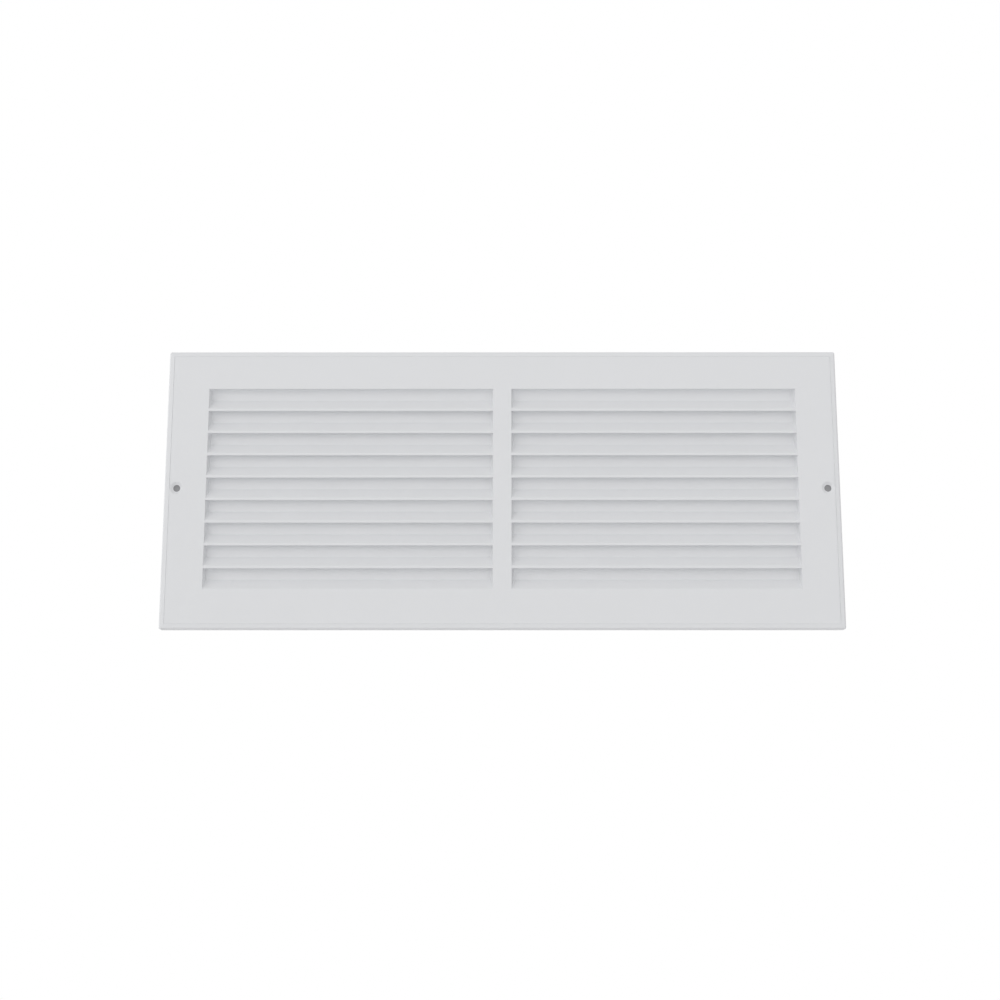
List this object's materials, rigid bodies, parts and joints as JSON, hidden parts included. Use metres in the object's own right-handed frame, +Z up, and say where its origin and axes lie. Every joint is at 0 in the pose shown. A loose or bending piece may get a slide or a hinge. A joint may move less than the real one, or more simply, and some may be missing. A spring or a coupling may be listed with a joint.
{
  "type": "louvred air grille",
  "caption": "Flat rectangular steel return-air grille: fixed pressed louvres either side of a plain mullion, bevelled edges, a turned-back rim and dimpled screw holes near its ends.",
  "frame": {"origin": "centre of the flat front face, in its plane, midway between the two screw holes; the holes' own walls lie 1.0 to 1.8 mm behind that plane, at the bottom of their dimples", "axes": "+X to the right and +Z up as seen from the room, +Y into the wall; the front face looks along -Y"},
  "size_m": [0.3492, 0.0055, 0.146],
  "materials": {
    "powder_coat": "smooth satin white powder coat on steel sheet"
  },
  "bodies": {
    "root": {"faceplate": "powder_coat", "rim_top": "powder_coat", "rim_bottom": "powder_coat", "rim_left": "powder_coat", "rim_right": "powder_coat", "louvre_left_1": "powder_coat", "louvre_left_2": "powder_coat", "louvre_left_3": "powder_coat", "louvre_left_4": "powder_coat", "louvre_left_5": "powder_coat", "louvre_left_6": "powder_coat", "louvre_left_7": "powder_coat", "louvre_left_8": "powder_coat", "louvre_left_9": "powder_coat", "louvre_right_1": "powder_coat", "louvre_right_2": "powder_coat", "louvre_right_3": "powder_coat", "louvre_right_4": "powder_coat", "louvre_right_5": "powder_coat", "louvre_right_6": "powder_coat", "louvre_right_7": "powder_coat", "louvre_right_8": "powder_coat", "louvre_right_9": "powder_coat"}
  },
  "joints": []
}
